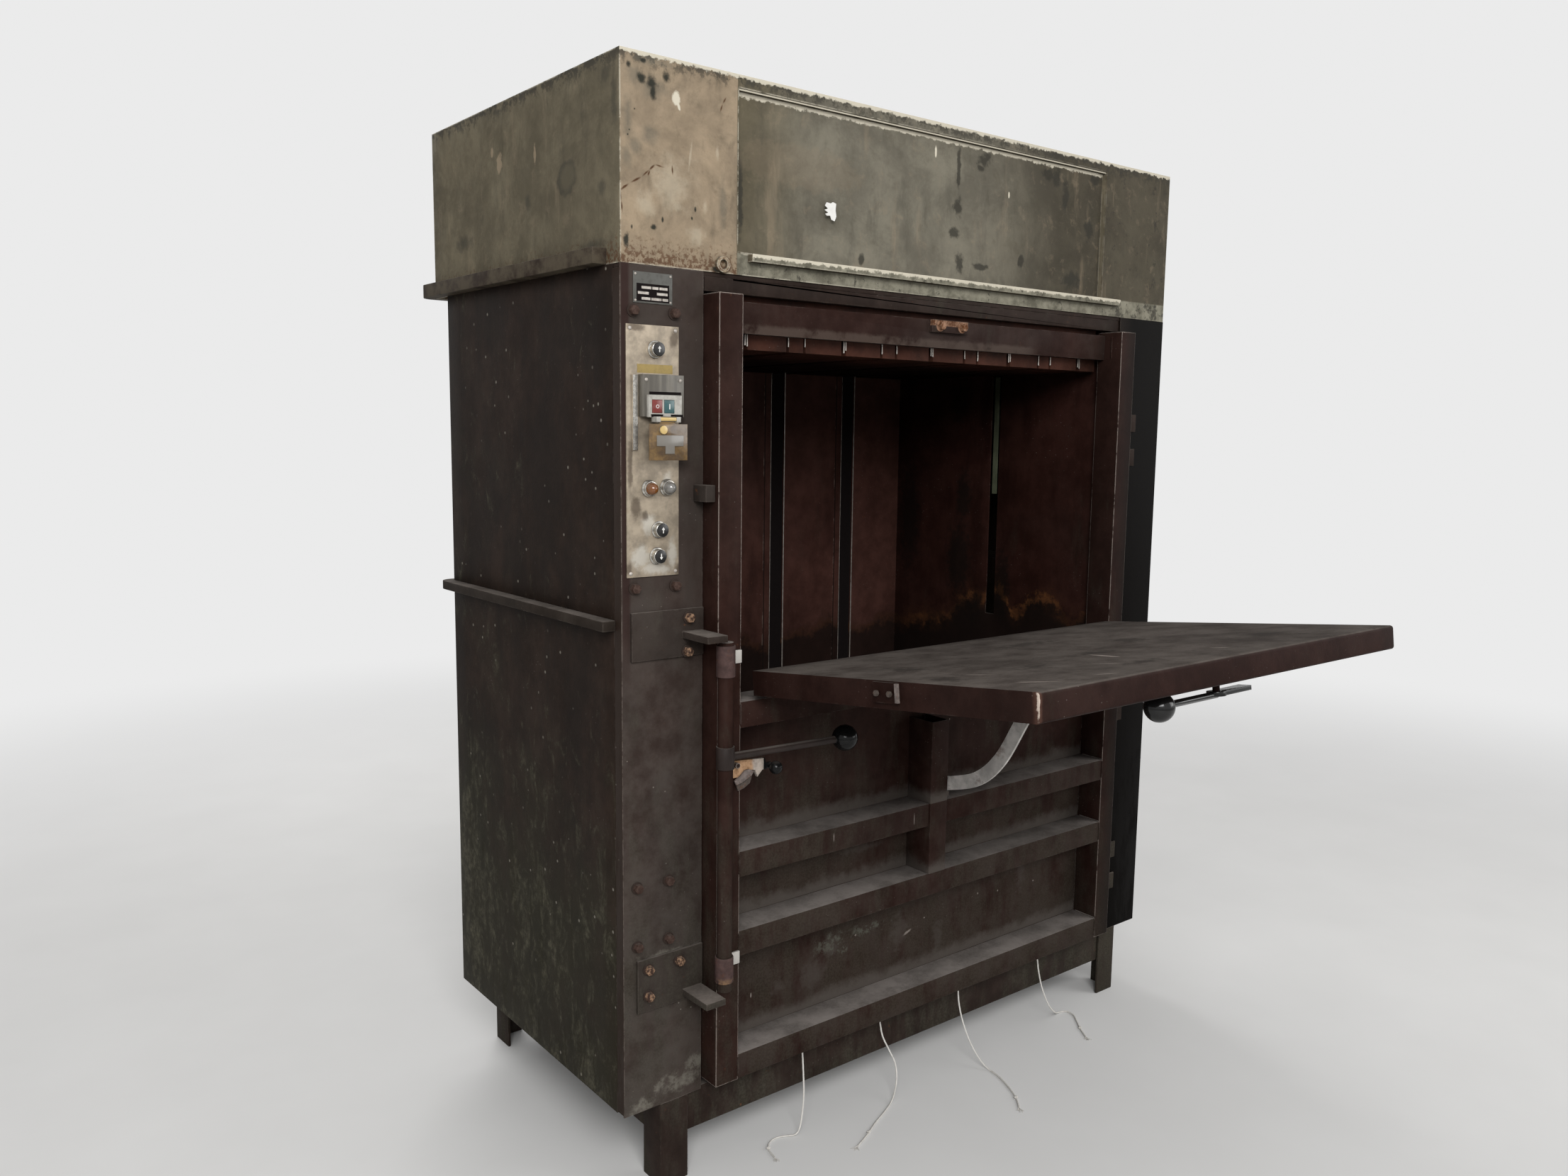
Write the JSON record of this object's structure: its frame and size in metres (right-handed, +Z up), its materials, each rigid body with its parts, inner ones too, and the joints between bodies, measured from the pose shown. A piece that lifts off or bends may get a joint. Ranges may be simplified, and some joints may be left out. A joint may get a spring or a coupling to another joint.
{
  "type": "recycling baler",
  "caption": "Upright waste baler: steel press box with a full-height hinged door, open feed flap on a stay, lock rod, push-button panel and a hydraulic platen.",
  "frame": {"origin": "on the floor, in the middle of the machine's width and of its depth with the flap open", "axes": "+Z up, +X to the right seen from the door side, -Y out of the door side"},
  "size_m": [1.554, 1.5026, 2],
  "materials": {
    "frame_paint": "worn dark red paint under grime",
    "side_paint": "worn maroon paint with dust streaks",
    "pillar_paint": "worn maroon paint, mildewed low down",
    "door_paint": "worn maroon paint, bright steel on the edges",
    "flap_dust": "maroon paint under grey dust",
    "hood_paint": "aged beige-grey paint with rust streaks",
    "chamber_steel": "worn brown paint over rust",
    "machine_paint": "satin machine grey",
    "bare_steel": "dull bare steel",
    "rod_chrome": "ground chrome",
    "plate_alu": "champagne anodised, dusty",
    "label_yellow": "faded pale coat",
    "switch_plastic": "aged light grey",
    "bezel_chrome": "dull chrome",
    "lamp_amber": "ribbed lens",
    "bolt_rust": "rusty",
    "keeper_rust": "crusted paint and rust",
    "bush_pink": "greasy, faded",
    "stay_zinc": "galvanised with rust",
    "lever_black": "gloss black",
    "catch_white": "chipped white over rust",
    "button_black": "satin black",
    "button_red": "red",
    "button_teal": "teal",
    "cover_brass": "yellowed",
    "twine_white": "matte polyester twine"
  },
  "bodies": {
    "frame": {"base_plate": "frame_paint", "base_beams": "frame_paint", "leg_front_left": "frame_paint", "leg_front_right": "frame_paint", "leg_rear_left": "frame_paint", "leg_rear_right": "frame_paint", "pillar_left": "pillar_paint", "pillar_right": "pillar_paint", "left_lower_panel": "side_paint", "left_upper_panel": "side_paint", "right_lower_panel": "side_paint", "right_upper_panel": "side_paint", "rear_panel": "side_paint", "middle_rail": "frame_paint", "upper_rail": "frame_paint", "chamber_left_wall": "chamber_steel", "chamber_right_wall": "chamber_steel", "chamber_rear_wall": "chamber_steel", "lintel": "frame_paint", "deck": "frame_paint", "hood_shell": "hood_paint", "hood_cover": "hood_paint", "hood_front_rail": "hood_paint", "press_cylinders": "machine_paint", "oil_tank": "machine_paint", "pump_motor": "machine_paint", "pump": "machine_paint", "control_plate": "plate_alu", "type_plate": "label_yellow", "switch_housing": "switch_plastic", "bezels": "bezel_chrome", "lamps": "lamp_amber", "keeper_upper": "keeper_rust", "keeper_lower": "keeper_rust", "pillar_bolts": "bolt_rust", "hinge_leaves": "frame_paint", "twine_1": "twine_white", "twine_2": "twine_white", "twine_3": "twine_white", "twine_4": "twine_white"},
    "door": {"door_stiles": "door_paint", "door_ribs": "door_paint", "door_sheet": "door_paint", "door_header": "door_paint", "stay_channel": "door_paint", "lock_bushes": "bush_pink"},
    "flap": {"flap_panel": "flap_dust"},
    "stay": {"stay_bar": "stay_zinc"},
    "latch": {"latch_lever": "lever_black"},
    "lock": {"lock_rod": "door_paint", "lock_lever": "lever_black"},
    "catch": {"safety_catch": "catch_white"},
    "platen": {"platen": "chamber_steel", "piston_rods": "rod_chrome"},
    "top_button": {"top_button": "button_black"},
    "up_button": {"up_button": "button_black"},
    "down_button": {"down_button": "button_black"},
    "stop_button": {"stop_button": "button_red"},
    "start_button": {"start_button": "button_teal"},
    "switch_cover": {"switch_cover": "cover_brass"}
  },
  "joints": [
    {"name": "door_hinge", "type": "hinge", "parent": "frame", "child": "door", "pos_m": [0.597, -0.05469, 0.76], "axis": [0, 0, 1], "range_deg": [0, 110]},
    {"name": "flap_hinge", "type": "hinge", "parent": "door", "child": "flap", "pos_m": [0, -0.08669, 0.917], "axis": [-1, 0, 0], "range_deg": [0, 83.2]},
    {"name": "stay_pivot", "type": "hinge", "parent": "flap", "child": "stay", "pos_m": [0.011, -0.32855, 0.91563], "axis": [-1, 0, 0], "range_deg": [-47.3, 0]},
    {"name": "flap_latch_turn", "type": "hinge", "parent": "flap", "child": "latch", "pos_m": [0.015, -0.69151, 0.96294], "axis": [0, -0.1184, -0.993], "range_deg": [0, 90]},
    {"name": "lock_turn", "type": "hinge", "parent": "door", "child": "lock", "pos_m": [-0.578, -0.10369, 0.816], "axis": [0, 0, 1], "range_deg": [-100, 0]},
    {"name": "catch_pivot", "type": "hinge", "parent": "door", "child": "catch", "pos_m": [-0.548, -0.08999, 0.795], "axis": [0, 1, 0], "range_deg": [0, 25]},
    {"name": "platen_slide", "type": "slide", "parent": "frame", "child": "platen", "axis": [0, 0, -1], "range_m": [0, 0.635]},
    {"name": "top_button_press", "type": "slide", "parent": "frame", "child": "top_button", "axis": [0, 1, 0], "range_m": [0, 0.003], "stiffness_N_per_m": 300},
    {"name": "up_button_press", "type": "slide", "parent": "frame", "child": "up_button", "axis": [0, 1, 0], "range_m": [0, 0.003], "stiffness_N_per_m": 300},
    {"name": "down_button_press", "type": "slide", "parent": "frame", "child": "down_button", "axis": [0, 1, 0], "range_m": [0, 0.003], "stiffness_N_per_m": 300},
    {"name": "stop_button_press", "type": "slide", "parent": "frame", "child": "stop_button", "axis": [0, 1, 0], "range_m": [0, 0.003], "stiffness_N_per_m": 300},
    {"name": "start_button_press", "type": "slide", "parent": "frame", "child": "start_button", "axis": [0, 1, 0], "range_m": [0, 0.003], "stiffness_N_per_m": 300},
    {"name": "switch_cover_hinge", "type": "hinge", "parent": "frame", "child": "switch_cover", "pos_m": [-0.678, -0.07069, 1.409], "axis": [-1, 0, 0], "range_deg": [0, 165]}
  ],
  "couplings": [
    {"joint": "stay_pivot", "follows": "flap_hinge", "ratio": -0.567}
  ]
}
